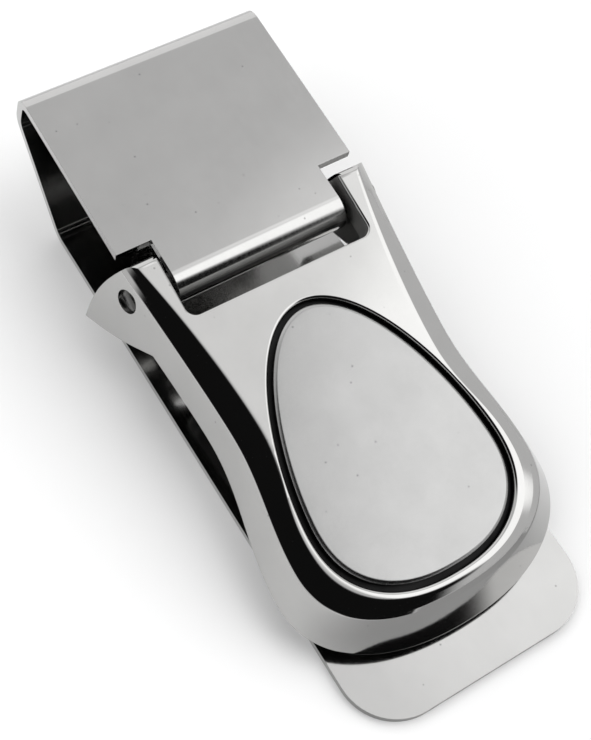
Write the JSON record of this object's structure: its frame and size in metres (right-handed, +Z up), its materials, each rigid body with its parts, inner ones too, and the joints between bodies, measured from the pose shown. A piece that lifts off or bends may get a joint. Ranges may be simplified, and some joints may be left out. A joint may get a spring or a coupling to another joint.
{
  "type": "hinged money clip",
  "caption": "Folded spring-steel strip with a hinged cast cover that holds folded banknotes, and a satin egg-shaped inlay plate for engraving.",
  "frame": {"origin": "middle of the bounding box in X and Y, on the surface that the back plate lies on", "axes": "+Z up, out of the cover; +Y from the cover's free end towards the strip's fold; +X across the clip, along the hinge pin"},
  "size_m": [0.0316, 0.067, 0.0154],
  "materials": {
    "strip_steel": "polished",
    "cover_plating": "polished",
    "pin_steel": "turned",
    "adhesive": "matte",
    "inlay_satin": "satin"
  },
  "bodies": {
    "clip_body": {"spring_strip": "strip_steel"},
    "cover": {"front_cover": "cover_plating", "hinge_pin": "pin_steel", "inlay_adhesive": "adhesive", "inlay_plate": "inlay_satin"}
  },
  "joints": [
    {"name": "cover_hinge", "type": "hinge", "parent": "clip_body", "child": "cover", "pos_m": [0, 0.01, 0.01165], "axis": [-1, 0, 0], "range_deg": [0, 100]}
  ]
}
